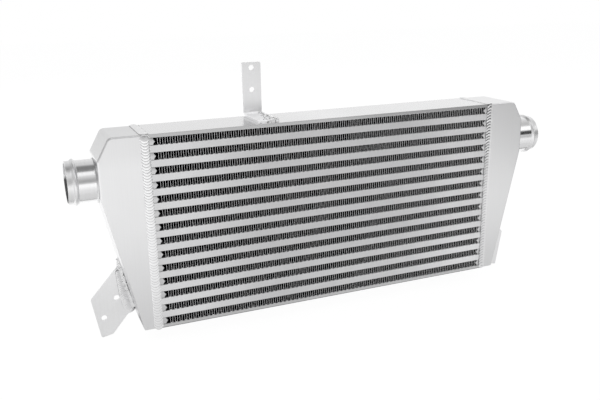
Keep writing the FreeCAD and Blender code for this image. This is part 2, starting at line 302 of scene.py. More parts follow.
class FinishShop:
    """Builds the node groups once and every material from them."""

    noise_middle: float = 0.5
    speck_colour: Colour = (0.09, 0.09, 0.09, 1.0)
    speck_limit: float = 0.75
    speck_fade: float = 0.06

    def __init__(self) -> None:
        """Makes the shared groups."""
        self.made: dict[Finish, Material] = {}
        self.grain_group = self._make_grain_group()
        self.cloud_group = self._make_cloud_group()
        self.speck_group = self._make_speck_group()

    def _new_group(self, name: str, inputs: dict[str, float | None], outputs: Iterable[str],
                   ) -> tuple[Wiring, bpy.types.NodeInputs, bpy.types.NodeOutputs]:
        """Starts a shader node group with its sockets.

        Args:
            name: The group's name.
            inputs: The default of each float input by name, or None for a vector.
            outputs: The names of the float outputs.

        Returns:
            The group's wiring, the sockets that its inputs come from and those that its outputs go to.
        """
        group = bpy.data.node_groups.new(name, "ShaderNodeTree")
        for label, default in inputs.items():
            kind = "NodeSocketVector" if default is None else "NodeSocketFloat"
            socket = group.interface.new_socket(label, in_out="INPUT", socket_type=kind)
            if default is not None:
                socket.default_value = default
        for label in outputs:
            group.interface.new_socket(label, in_out="OUTPUT", socket_type="NodeSocketFloat")
        given = group.nodes.new("NodeGroupInput").outputs
        wanted = group.nodes.new("NodeGroupOutput").inputs
        return Wiring(group), given, wanted

    def _around_one(self, wiring: Wiring, noise: Socket, contrast: Socket) -> Socket:
        """Returns a noise as a factor that strays from 1 by a contrast."""
        centred = wiring.math("SUBTRACT", noise, self.noise_middle)
        return wiring.math("MULTIPLY_ADD", centred, contrast, 1.0)

    def _make_grain_group(self) -> bpy.types.NodeTree:
        """Draws fine working lines, stretched along one direction.

        Returns:
            The group.
        """
        inputs = {"Coordinates": None, "Stretch": None, "Contrast": 0.1}
        wiring, given, wanted = self._new_group("working_grain", inputs, ("Height", "Factor"))
        stretched = wiring.node("VectorMath", {0: given["Coordinates"], 1: given["Stretch"]},
                                operation="MULTIPLY").outputs["Vector"]
        noise = wiring.node("TexNoise", {"Vector": stretched, "Scale": 1.0, "Detail": 5.0,
                                         "Roughness": 0.6}).outputs["Fac"]
        wiring.feed(wanted["Height"], noise)
        wiring.feed(wanted["Factor"], self._around_one(wiring, noise, given["Contrast"]))
        return wiring.tree

    def _make_cloud_group(self) -> bpy.types.NodeTree:
        """Shades a surface softly from place to place.

        Returns:
            The group.
        """
        inputs = {"Coordinates": None, "Scale": 20.0, "Contrast": 0.1}
        wiring, given, wanted = self._new_group("soft_clouds", inputs, ("Factor",))
        noise = wiring.node("TexNoise", {"Vector": given["Coordinates"], "Scale": given["Scale"],
                                         "Detail": 3.0, "Roughness": 0.5,
                                         "Distortion": 0.4}).outputs["Fac"]
        wiring.feed(wanted["Factor"], self._around_one(wiring, noise, given["Contrast"]))
        return wiring.tree

    def _make_speck_group(self) -> bpy.types.NodeTree:
        """Scatters small dark pits, whose edges fade over a narrow band of the noise.

        Returns:
            The group.
        """
        inputs = {"Coordinates": None, "Density": 0.2}
        wiring, given, wanted = self._new_group("dark_specks", inputs, ("Mask",))
        noise = wiring.node("TexNoise", {"Vector": given["Coordinates"], "Scale": 650.0,
                                         "Detail": 2.0}).outputs["Fac"]
        limit = wiring.math("SUBTRACT", self.speck_limit, given["Density"])
        above = wiring.math("ADD", limit, self.speck_fade)
        wiring.feed(wanted["Mask"], wiring.ranged(noise, (limit, above)))
        return wiring.tree

    def metal(self, finish: Finish) -> Material:
        """Gives out the material of a finish, which is built when it is first asked for.

        Args:
            finish: The surface that is wanted.

        Returns:
            The material.
        """
        if finish not in self.made:
            self.made[finish] = self._build(finish)
        return self.made[finish]

    def _build(self, finish: Finish) -> Material:
        """Builds one metal.

        Args:
            finish: The surface to build.

        Returns:
            The material.
        """
        material = bpy.data.materials.new(finish.name)
        material.use_nodes = True
        wiring = Wiring(material.node_tree)
        shader = material.node_tree.nodes["Principled BSDF"].inputs
        place = wiring.node("TexCoord").outputs["Object"]
        grain = wiring.node("Group", {"Coordinates": place, "Stretch": finish.grain.value,
                                      "Contrast": finish.grain_contrast},
                            node_tree=self.grain_group).outputs
        cloud = wiring.node("Group", {"Coordinates": place, "Scale": 1.0 / finish.cloud_size,
                                      "Contrast": finish.cloud_contrast},
                            node_tree=self.cloud_group).outputs
        colour = wiring.scaled(finish.colour, wiring.math("MULTIPLY", grain["Factor"], cloud["Factor"]))
        if finish.speck_density > 0.0:
            specks = wiring.node("Group", {"Coordinates": place, "Density": finish.speck_density},
                                 node_tree=self.speck_group).outputs
            colour = wiring.mixed(specks["Mask"], colour, self.speck_colour)
        # The grades paint light and shade into the colour.
        for grade in finish.grades:
            along = wiring.node("SeparateXYZ", {"Vector": place}).outputs[grade.axis]
            factor = wiring.ranged(wiring.math("ABSOLUTE", along), grade.reach, grade.scale,
                                   interpolation_type="SMOOTHSTEP")
            colour = wiring.scaled(colour, factor)
        bump = wiring.node("Bump", {"Strength": 1.0, "Distance": finish.grain_depth,
                                    "Height": grain["Height"]})
        wiring.feed(shader["Metallic"], finish.metallic)
        wiring.feed(shader["Specular IOR Level"], finish.sheen)
        wiring.feed(shader["Base Color"], colour)
        wiring.feed(shader["Roughness"], wiring.math("MULTIPLY", grain["Factor"], finish.roughness))
        wiring.feed(shader["Normal"], bump.outputs["Normal"])
        return material


class Bench:
    """The hand tools, each of which works on the piece that it is given."""

    edge_steps: int = 2
    normal_weight: int = 100

    @staticmethod
    def clear() -> None:
        """Leaves nothing selected."""
        bpy.ops.object.select_all(action="DESELECT")

    @staticmethod
    def pick(piece: Piece) -> None:
        """Selects one piece alone and makes it active.

        Args:
            piece: The piece.
        """
        Bench.clear()
        piece.select_set(True)
        bpy.context.view_layer.objects.active = piece

    @staticmethod
    def settle(piece: Piece) -> None:
        """Puts a piece's place, turn and scale into its mesh."""
        Bench.pick(piece)
        bpy.ops.object.transform_apply(location=True, rotation=True, scale=True)

    @staticmethod
    def apply(piece: Piece, kind: str, **settings: object) -> None:
        """Adds one modifier with its settings and applies it.

        Args:
            piece: The piece to work on.
            kind: The modifier's type.
            settings: Its settings by name.
        """
        Bench.pick(piece)
        modifier = piece.modifiers.new(kind.lower(), kind)
        for name, value in settings.items():
            setattr(modifier, name, value)
        bpy.ops.object.modifier_apply(modifier=modifier.name)

    @staticmethod
    def round_edges(piece: Piece, width: float, angle: float) -> None:
        """Rounds the edges at which two faces turn by more than an angle, by a width."""
        Bench.apply(piece, "BEVEL", width=width, segments=Bench.edge_steps, limit_method="ANGLE",
                    angle_limit=angle, use_clamp_overlap=True)

    @staticmethod
    def smooth(piece: Piece, angle: float) -> None:
        """Shades a piece smooth where its faces turn by less than an angle."""
        Bench.pick(piece)
        bpy.ops.object.shade_smooth_by_angle(angle=angle)

    @staticmethod
    def flatten_shading(piece: Piece) -> None:
        """Lets the large faces of a piece look flat beside its rounded edges."""
        Bench.apply(piece, "WEIGHTED_NORMAL", mode="FACE_AREA", weight=Bench.normal_weight,
                    keep_sharp=True)

    @staticmethod
    def copy(piece: Piece, name: str, move: Matrix) -> Piece:
        """Copies a piece with a mesh of its own.

        Args:
            piece: The piece to copy.
            name: The copy's name.
            move: Where the copy's mesh goes, seen from the first one.

        Returns:
            The copy.
        """
        twin = piece.copy()
        twin.data = piece.data.copy()
        twin.name = name
        twin.data.transform(move)
        bpy.context.scene.collection.objects.link(twin)
        return twin

    @staticmethod
    def join(pieces: list[Piece], name: str) -> Piece:
        """Joins pieces into the first of them.

        Args:
            pieces: The pieces.
            name: The name of the whole.

        Returns:
            The whole.
        """
        Bench.pick(pieces[0])
        for piece in pieces:
            piece.select_set(True)
        bpy.ops.object.join()
        pieces[0].name = name
        return pieces[0]

    @staticmethod
    def select(piece: Piece, wanted: Test, kind: str = "FACE") -> None:
        """Selects what a test wants, and nothing else.

        Args:
            piece: The piece, in edit mode.
            wanted: The test.
            kind: What it tests, FACE or EDGE.
        """
        bpy.ops.mesh.select_mode(type=kind)
        bpy.ops.mesh.select_all(action="DESELECT")
        mesh = bmesh.from_edit_mesh(piece.data)
        for part in mesh.faces if kind == "FACE" else mesh.edges:
            part.select_set(wanted(part))
        bmesh.update_edit_mesh(piece.data)

    @staticmethod
    def open_edges(piece: Piece) -> None:
        """Settles a piece that was just added, enters its edit mode and selects all its edges.

        Args:
            piece: The piece, in object mode.
        """
        Bench.settle(piece)
        bpy.ops.object.mode_set(mode="EDIT")
        bpy.ops.mesh.select_mode(type="EDGE")
        bpy.ops.mesh.select_all(action="SELECT")

    @staticmethod
    def face_outwards(merge: float | None = None) -> None:
        """Turns all faces of the piece in edit mode outwards.

        Args:
            merge: The distance below which its points are merged first, where they are.
        """
        bpy.ops.mesh.select_all(action="SELECT")
        if merge is not None:
            bpy.ops.mesh.remove_doubles(threshold=merge)
        bpy.ops.mesh.normals_make_consistent(inside=False)

    @staticmethod
    def dress(piece: Piece, wanted: Test, material: Material) -> None:
        """Gives some faces of a piece a finish of their own.

        Args:
            piece: The piece, with its main finish in place.
            wanted: The test that picks the faces.
            material: Their finish.
        """
        Bench.pick(piece)
        piece.data.materials.append(material)
        bpy.ops.object.mode_set(mode="EDIT")
        Bench.select(piece, wanted)
        piece.active_material_index = len(piece.data.materials) - 1
        bpy.ops.object.material_slot_assign()
        bpy.ops.object.mode_set(mode="OBJECT")

    @staticmethod
    def hand_over(piece: Piece, slot: str, *nodes: str) -> None:
        """Gives a finished piece its body and hides the CAD nodes that it stands for.

        Args:
            piece: The finished piece, with its finishes in place.
            slot: Not used.
            nodes: The CAD nodes that it replaces.
        """
        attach(piece, BODY)
        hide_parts(*nodes)
        log.info("%s: %d faces for %s", piece.name, len(piece.data.polygons), ", ".join(nodes))


def fin_rows() -> list[tuple[str, float]]:
    """Lists the node of each cooling row's fin and its rise above the lowest one."""
    nodes = [f"cooling_fin_{row + 1:02d}" for row in range(FIN_ROWS)]
    return [(node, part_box(node)[0].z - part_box(FIRST_FIN)[0].z) for node in nodes]


@dataclass
class CarriedNodes:
    """The CAD nodes of the core that are shown as they are, with finishes of their own."""

    shop: FinishShop

    def build(self) -> None:
        """Gives each node its finish."""
        finishes = {"charge_bars": BRAZED_BAR_PAINTED_LIGHT, "parting_sheets": BRAZED_BAR_PAINTED_LIGHT, "turbulator": FIN_SHEET_SHADED_INWARDS,
                    "bottom_end_sheet": BOTTOM_SHEET}
        for node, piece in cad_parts.items():
            for start, finish in finishes.items():
                if node.startswith(start):
                    piece.data.materials.clear()
                    piece.data.materials.append(self.shop.metal(finish))
                    log.info("%s: carried over with the finish %s", node, finish.name)


@dataclass
class CoolingFins:
    """The folded strips in the cooling rows, with their true fine pitch."""

    shop: FinishShop
    fold_length: float = 5.6 * MM
    lean: float = math.radians(2.5)
    sheet: float = 0.24 * MM
    fold_rounding: float = 0.45 * MM
    sharp_angle: float = math.radians(40.0)
    smooth_angle: float = math.radians(50.0)
    clearance: float = 0.03 * MM

    def build(self) -> None:
        """Models one strip and sets a copy of it into each row."""
        strip = self._strip(*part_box(FIRST_FIN))
        strip.data.materials.append(self.shop.metal(FIN_SHEET_SHADED_INWARDS))
        for row, (node, rise) in enumerate(fin_rows()):
            twin = Bench.copy(strip, f"fine_fin_{row + 1:02d}", Matrix.Translation((0.0, 0.0, rise)))
            Bench.hand_over(twin, "fin_strip", node)
        bpy.data.objects.remove(strip)

    def _strip(self, low: Vector, high: Vector) -> Piece:
        """Folds the lowest row's strip.

        Args:
            low: The lowest corner of the row's fin.
            high: Its highest corner.

        Returns:
            The strip, with its folds rounded and its sheet thickened.
        """
        folds = round((high.x - low.x) / self.fold_length)
        fold = (high.x - low.x) / folds
        crest = high.z - low.z - self.sheet - 2.0 * self.clearance
        run = crest * math.tan(self.lean)
        flat = fold / 2.0 - run
        top = high.z - self.sheet / 2.0 - self.clearance
        middle = (low + high) / 2.0
        merge = self.clearance / 2.0
        Bench.clear()
        bpy.ops.mesh.primitive_plane_add(size=1.0, location=(low.x + flat / 2.0, middle.y, top))
        strip = bpy.context.object
        strip.scale = (flat, high.y - low.y, 1.0)
        Bench.settle(strip)
        bpy.ops.object.mode_set(mode="EDIT")
        reach = low.x + flat
        for step in ((run, 0.0, -crest), (flat, 0.0, 0.0), (run, 0.0, crest)):
            Bench.select(strip, lambda e: all(abs(v.co.x - reach) < merge for v in e.verts), "EDGE")
            bpy.ops.mesh.extrude_edges_move(TRANSFORM_OT_translate={"value": step})
            reach += step[0]
        bpy.ops.object.mode_set(mode="OBJECT")
        Bench.apply(strip, "ARRAY", count=folds, use_relative_offset=False, use_constant_offset=True,
                    constant_offset_displace=(fold, 0.0, 0.0), use_merge_vertices=True,
                    merge_threshold=merge)
        Bench.round_edges(strip, self.fold_rounding, self.sharp_angle)
        Bench.apply(strip, "SOLIDIFY", thickness=self.sheet, offset=0.0, use_even_offset=True)
        Bench.smooth(strip, self.smooth_angle)
        return strip


@dataclass
class EndBars:
    """The short closing bars at the ends of the cooling rows, with dressed edges."""

    shop: FinishShop
    nose: float = 2.2 * MM
    nose_share: float = 0.7
    outer_rounding: float = 2.2 * MM
    outer_steps: int = 5
    edge_rounding: float = 0.2 * MM
    seat_gap: float = 0.38 * MM
    merge: float = 0.038 * MM
    square_on: float = 0.9
    sharp_angle: float = math.radians(50.0)
    smooth_angle: float = math.radians(30.0)

    def build(self) -> None:
        """Models the bars of both ends."""
        for side in Side:
            self._column(side)

    def _column(self, side: Side) -> None:
        """Models one bar and sets a copy of it at the end of each row.

        Args:
            side: The end of the core.
        """
        node = f"{side.word}_end_bars"
        low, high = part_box(node)
        outer, inner = (low.x, high.x) if side is Side.LEFT else (high.x, low.x)
        bar = self._bar(outer, inner, low.y, high.y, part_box(FIRST_FIN))
        bars = [Bench.copy(bar, f"bar_{row}", Matrix.Translation((0.0, 0.0, rise)))
                for row, (_, rise) in enumerate(fin_rows())]
        bpy.data.objects.remove(bar)
        piece = Bench.join(bars, f"{side.word}_end_bars_dressed")
        piece.data.materials.append(self.shop.metal(CUT_BAR))
        shoulder = abs(inner) + self.nose / 2.0
        Bench.dress(piece, lambda f: abs(f.calc_center_median().x) < shoulder, self.shop.metal(FRESH_CUT))
        Bench.hand_over(piece, "core_bar", node)

    def _bar(self, outer: float, inner: float, front: float, rear: float,
             row: tuple[Vector, Vector]) -> Piece:
        """Models the lowest row's bar.

        Args:
            outer: The place of its outer face along the core.
            inner: The place of its nose along the core.
            front: The place of its front face.
            rear: The place of its rear face.
            row: The lowest and highest corners of the row's fin.

        Returns:
            The bar, with its nose and its rounded edges.
        """
        sign = 1.0 if inner > outer else -1.0
        shoulder = inner - sign * self.nose
        height = row[1].z - row[0].z - 2.0 * self.seat_gap
        middle = (row[0].z + row[1].z) / 2.0
        Bench.clear()
        bpy.ops.mesh.primitive_cube_add(
            size=1.0, location=((outer + shoulder) / 2.0, (front + rear) / 2.0, middle))
        bar = bpy.context.object
        bar.scale = (abs(shoulder - outer), rear - front, height)
        Bench.settle(bar)
        bpy.ops.object.mode_set(mode="EDIT")
        Bench.select(bar, lambda f: f.normal.x * sign > self.square_on)
        for step, share in ((0.0, self.nose_share), (sign * self.nose, 0.0)):
            bpy.ops.mesh.extrude_region_move(TRANSFORM_OT_translate={"value": (step, 0.0, 0.0)})
            bpy.ops.transform.resize(value=(1.0, 1.0, share), center_override=(inner, 0.0, middle))
        Bench.face_outwards(self.merge)
        Bench.select(bar, lambda e: all(abs(v.co.x - outer) < self.seat_gap for v in e.verts)
                     and abs(e.verts[0].co.y - e.verts[1].co.y) > height, "EDGE")
        bpy.ops.mesh.bevel(offset=self.outer_rounding, segments=self.outer_steps)
        bpy.ops.object.mode_set(mode="OBJECT")
        Bench.round_edges(bar, self.edge_rounding, self.sharp_angle)
        Bench.smooth(bar, self.smooth_angle)
        return bar


@dataclass(frozen=True)
class Ripple:
    """One frozen ripple of a weld: its place, the way to the next one, the way it faces and its size."""

    centre: Vector
    travel: Vector
    outward: Vector
    size: float = 1.0


@dataclass(frozen=True)
class Seam:
    """A straight seam: its ends, the way it faces, the turn of its ripples, their first and last size."""

    start: Vector
    end: Vector
    outward: Vector
    skew: float = 0.0
    sizes: Pair = (1.0, 1.0)

    def ripples(self, step: float) -> list[Ripple]:
        """Spaces ripples evenly along the seam.

        Args:
            step: The distance between ripples.

        Returns:
            The ripples in the order of welding.
        """
        count = max(2, round((self.end - self.start).length / step) + 1)
        outward = self.outward.normalized()
        travel = Matrix.Rotation(self.skew, 3, outward) @ (self.end - self.start).normalized()
        first, last = self.sizes
        ripples = []
        for i in range(count):
            share = i / (count - 1)
            size = first + (last - first) * share
            ripples.append(Ripple(self.start.lerp(self.end, share), travel, outward, size))
        return ripples


@dataclass(frozen=True)
class WeldBead:
    """A bead of overlapping ripples, each lying on the one before with a raised near edge.

    A ripple is a dome with a rim, a shoulder and a cap. Its crease is a band
    along the rim on the near side, whose darker finish is painted shade. The crease's faces are picked by
    their distance from the middle, with some slack, and by how far they face up.
    """

    metal: Finish
    crease: Finish
    width: float
    lift: float
    crown: float = 0.6 * MM
    ripple_step: float = 3.3 * MM
    ripple_tilt: float = math.radians(10.0)
    unevenness: float = 0.06
    twist_share: float = 2.0
    sway_share: float = 0.4
    corners: int = 16
    shoulder_rise: float = 0.45
    cap_rise: float = 0.4
    cap_share: float = 0.55
    crease_width: float = 0.10
    crease_reach: float = math.radians(60.0)
    rim_place: float = 0.95
    rim_slack: float = 0.9
    rim_slope: float = 0.3
    smooth_angle: float = math.radians(50.0)
    seed: int = 7

    def along(self, *seams: Seam) -> list[Ripple]:
        """Returns the bead's ripples along some seams, one seam after the other."""
        return [ripple for seam in seams for ripple in seam.ripples(self.ripple_step)]

    def lay(self, shop: FinishShop, name: str, ripples: list[Ripple], node: str) -> None:
        """Lays one low dome for each ripple and joins them as one bead.

        Args:
            shop: The shop that makes its finishes.
            name: The bead's name.
            ripples: The places along its path, in the order of welding.
            node: The CAD node that it replaces.
        """
        chance = random.Random(self.seed)
        dome = self._dome(shop)
        domes = []
        for ripple in ripples:
            tilt, twist, growth, sway = (self.unevenness * chance.uniform(-1.0, 1.0) for _ in range(4))
            across = ripple.outward.cross(ripple.travel)
            turn = Matrix((ripple.travel, across, ripple.outward)).transposed()
            turn = turn @ Matrix.Rotation(tilt, 3, "X")
            turn = turn @ Matrix.Rotation(self.twist_share * twist, 3, "Z")
            size = Matrix.Scale(ripple.size * (1.0 + growth), 4)
            aside = (across + ripple.travel) * self.width * sway * self.sway_share
            place = Matrix.Translation(ripple.centre + ripple.outward * self.lift + aside)
            domes.append(Bench.copy(dome, f"ripple_{len(domes)}", place @ turn.to_4x4() @ size))
        bpy.data.objects.remove(dome)
        bead = Bench.join(domes, name)
        Bench.smooth(bead, self.smooth_angle)
        Bench.hand_over(bead, "weld_metal", node)

    def _dome(self, shop: FinishShop) -> Piece:
        """Models one low dome whose near edge stands up and has a crease as its rim.

        Args:
            shop: The shop that makes its finishes.

        Returns:
            The dome.
        """
        radius = self.width / 2.0
        Bench.clear()
        bpy.ops.mesh.primitive_circle_add(vertices=self.corners, radius=radius,
                                          location=(0.0, 0.0, -self.crown))
        dome = bpy.context.object
        Bench.open_edges(dome)
        rings = ((1.0, 1.0), (self.shoulder_rise, 1.0 - self.crease_width),
                 (self.cap_rise, self.cap_share))
        reach = 1.0
        for rise, share in rings:
            step = (0.0, 0.0, rise * self.crown)
            bpy.ops.mesh.extrude_edges_move(TRANSFORM_OT_translate={"value": step})
            bpy.ops.transform.resize(value=(share / reach, share / reach, 1.0),
                                     center_override=(0.0, 0.0, 0.0))
            reach = share
        bpy.ops.mesh.edge_face_add()
        Bench.face_outwards()
        dome.data.materials.append(shop.metal(self.metal))
        # The second finish is painted shade for the crease band.
        dome.data.materials.append(shop.metal(self.crease))
        rim = radius * (1.0 - self.crease_width / 2.0) * self.rim_place
        edge = -math.cos(self.crease_reach) * rim
        Bench.select(dome, lambda f: f.calc_center_median().x < edge and f.normal.z > self.rim_slope
                     and f.calc_center_median().xy.length > rim * self.rim_slack)
        dome.active_material_index = 1
        bpy.ops.object.material_slot_assign()
        bpy.ops.mesh.select_all(action="SELECT")
        bpy.ops.transform.rotate(value=-self.ripple_tilt, orient_axis="Y",
                                 center_override=(0.0, 0.0, 0.0))
        bpy.ops.object.mode_set(mode="OBJECT")
        return dome


@dataclass
class SeamWelds:
    """The beads that run round the seams of core and tank."""

    shop: FinishShop
    left: WeldBead = WeldBead(BRIGHT_WELD, SOFT_CREASE, width=10.8 * MM, lift=0.3 * MM, unevenness=0.04)
    right: WeldBead = WeldBead(WELD, DEEP_CREASE, width=9.4 * MM, lift=0.3 * MM, crown=0.2 * MM,
                               ripple_step=3.9 * MM, ripple_tilt=math.radians(6.5), crease_width=0.28,
                               crease_reach=math.radians(50.0), unevenness=0.03)
    plain: WeldBead = WeldBead(WELD, WELD, width=10.0 * MM, lift=0.1 * MM, crown=0.5 * MM,
                               ripple_tilt=math.radians(6.0), unevenness=0.04)
    # A dark strip under the left ring's runs above and below: a painted shadow along the bead's sides.
    bed: WeldBead = WeldBead(CREASE, CREASE, width=10.9 * MM, lift=0.0, crown=0.3 * MM,
                             ripple_tilt=0.0, unevenness=0.0)
    left_middle: float = 227.9 * MM
    right_middle: float = 226.6 * MM
    right_skew: float = math.radians(24.0)
    end_share: float = 0.42
    corner_sink: float = 1.9 * MM
    corner_size: float = 0.72
    top_rise: float = 0.3 * MM

    def build(self) -> None:
        """Lays both rings, and a dark strip under the left one's runs above and below, whose edges beside
        the bead are a painted shadow line.
        """
        low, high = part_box("left_tank")
        left_flats = self._flats(-self.left_middle, low, high)
        right_flats = self._flats(self.right_middle, low, high)
        beads = (
            (self.left, "left_seam_bead", self._uprights(Side.LEFT, low, high)),
            (self.right, "right_seam_bead", self._uprights(Side.RIGHT, low, high)),
            (self.plain, "seam_beads_above_and_below", left_flats + right_flats),
            (self.bed, "left_seam_bed", left_flats),
        )
        for bead, name, ripples in beads:
            bead.lay(self.shop, name, ripples, "core_welds")

    def _flats(self, x: float, low: Vector, high: Vector) -> list[Ripple]:
        """Goes forwards over the top and along the underside.

        Args:
            x: The place of the seam's middle along the core.
            low: The lowest corner of a tank.
            high: Its highest corner.

        Returns:
            The ripples of both runs.
        """
        inset = self.end_share * self.plain.width
        seams = []
        for level, outward in ((high.z + self.top_rise, 1.0), (low.z + self.corner_sink, -1.0)):
            start, end = Vector((x, high.y - inset, level)), Vector((x, low.y + inset, level))
            seams.append(Seam(start, end, Vector((0.0, 0.0, outward))))
        return self.plain.along(*seams)

    def _uprights(self, side: Side, low: Vector, high: Vector) -> list[Ripple]:
        """Goes up the front and the rear at the left, or down them with turned ripples at the right.

        Args:
            side: The end of the core.
            low: The lowest corner of a tank.
            high: Its highest corner.

        Returns:
            The ripples of both runs and of the front upper corner.
        """
        if side is Side.LEFT:
            x, bead, skew = -self.left_middle, self.left, 0.0
        else:
            x, bead, skew = self.right_middle, self.right, self.right_skew
        inset = self.end_share * bead.width
        start, end = low.z + inset, high.z - inset
        if side is Side.RIGHT:
            start, end = end, start
        runs = [Seam(Vector((x, y, start)), Vector((x, y, end)), Vector((0.0, facing, 0.0)), skew)
                for y, facing in ((low.y, -1.0), (high.y, 1.0))]
        ripples = bead.along(*runs)
        outward = Vector((0.0, -1.0, 1.0)).normalized()
        travel = Vector((0.0, 1.0, 1.0)).normalized()
        corner = Vector((x, low.y, high.z)) - outward * self.corner_sink
        ripples.append(Ripple(corner, travel, outward, self.corner_size))
        return ripples


@dataclass
class BracketWelds:
    """The beads that hold the brackets: rough ones on the top bracket, short ones on the lower two."""

    shop: FinishShop
    rough: WeldBead = WeldBead(ROUGH_WELD, CREASE, width=9.0 * MM, lift=0.3 * MM, crown=1.1 * MM,
                               ripple_step=3.6 * MM, ripple_tilt=math.radians(9.0), unevenness=0.25,
                               crease_reach=math.radians(40.0))
    rippled: WeldBead = WeldBead(BRIGHT_WELD, FAINT_CREASE, width=10.0 * MM, lift=0.1 * MM,
                                 crown=0.35 * MM, ripple_step=2.5 * MM, ripple_tilt=math.radians(5.0),
                                 crease_reach=math.radians(50.0), crease_width=0.06, unevenness=0.05)
    flat: WeldBead = WeldBead(SOOTY_WELD, SOOTY_WELD, width=7.5 * MM, lift=0.3 * MM, crown=0.4 * MM,
                              ripple_step=2.4 * MM, ripple_tilt=math.radians(5.0), unevenness=0.1)
    foot_thickness: float = 2.0 * MM
    seat: float = 0.6 * MM
    slant_foot: float = 244.0 * MM
    slant_run: float = 36.0
    slant_rise: float = 162.0
    rope_lean: float = 0.12

    def build(self) -> None:
        """Lays the beads of all three brackets."""
        self._top()
        self._lower()

    def _top(self) -> None:
        """Lays the heavy bead over the foot's right half and along its front edge."""
        low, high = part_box("top_bracket")
        top = low.z + self.foot_thickness
        left, right, front, rear = low.x, high.x, low.y, high.y
        sideways, forwards = Vector((0.45, 0.0, 1.0)), Vector((0.0, -0.2, 1.0))
        far_forwards = Vector((0.0, -0.6, 1.0))
        side_edge = Seam(Vector((right + 0.6 * MM, rear - 7.0 * MM, top)),
                         Vector((right - 0.5 * MM, front + 2.5 * MM, top)), sideways, sizes=(1.15, 1.0))
        beside_it = Seam(Vector((right - 6.0 * MM, rear - 26.0 * MM, top)),
                         Vector((right - 8.0 * MM, front + 6.0 * MM, top)), forwards, sizes=(0.8, 1.1))
        behind_front = Seam(Vector((right - 3.5 * MM, front + 6.0 * MM, top)),
                            Vector((left + 4.0 * MM, front + 8.0 * MM, top)), forwards, sizes=(0.9, 0.6))
        front_edge = Seam(Vector((right - 3.5 * MM, front + 1.0 * MM, top)),
                          Vector((left + 4.0 * MM, front + 1.5 * MM, top)), far_forwards,
                          sizes=(0.95, 0.6))
        ripples = self.rough.along(side_edge, beside_it, behind_front, front_edge)
        self.rough.lay(self.shop, "top_bracket_bead", ripples, "top_bracket_weld")

    def _lower(self) -> None:
        """Fills the groove of each lower bracket and lays ropes of ripples beside it."""
        ropes, fillings = [], []
        for side in Side:
            forwards = Vector((-self.rope_lean * side.value, -1.0, 0.0))
            outwards = Vector((side.value, -1.0, 0.0))
            ropes += self.rippled.along(
                self._slanting(side, (40.0, 2.0, 1.0), (16.0, 2.6, 0.6), outwards, (0.5, 0.75)),
                self._slanting(side, (62.0, 6.2, 0.0), (34.0, 8.0, 0.0), forwards, (0.45, 0.95)),
                self._slanting(side, (31.7, 8.0, 0.0), (14.5, 6.6, 0.0), forwards, (1.0, 1.2)))
            fillings += self.flat.along(
                self._slanting(side, (78.0, 1.2, 0.4), (66.0, 2.2, 0.8), outwards, (0.5, 0.9)),
                self._slanting(side, (63.6, 2.4, 0.8), (38.0, 3.0, 0.8), outwards, (0.9, 0.9)))
        self.rippled.lay(self.shop, "lower_bracket_ropes", ropes, "lower_bracket_welds")
        self.flat.lay(self.shop, "lower_bracket_fillings", fillings, "lower_bracket_welds")

    def _slanting(self, side: Side, start: Triple, end: Triple, outward: Vector, sizes: Pair) -> Seam:
        """Places a seam on the slanting side of a tank.

        Args:
            side: The end of the core.
            start: Its start in millimetres: up the slant, out from it and forwards.
            end: Its end, in the same way.
            outward: The way its bead faces.
            sizes: The size of its first and last ripple.

        Returns:
            The seam.
        """
        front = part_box("lower_bracket_welds")[0].y + self.seat
        run = Vector((side.value * self.slant_run, 0.0, self.slant_rise)).normalized()
        out = Vector((side.value * run.z, 0.0, -abs(run.x)))
        places = []
        for along, aside, rise in (start, end):
            foot = Vector((side.value * self.slant_foot, front - rise * MM, 0.0))
            places.append(foot + (run * along + out * aside) * MM)
        return Seam(*places, outward, sizes=sizes)


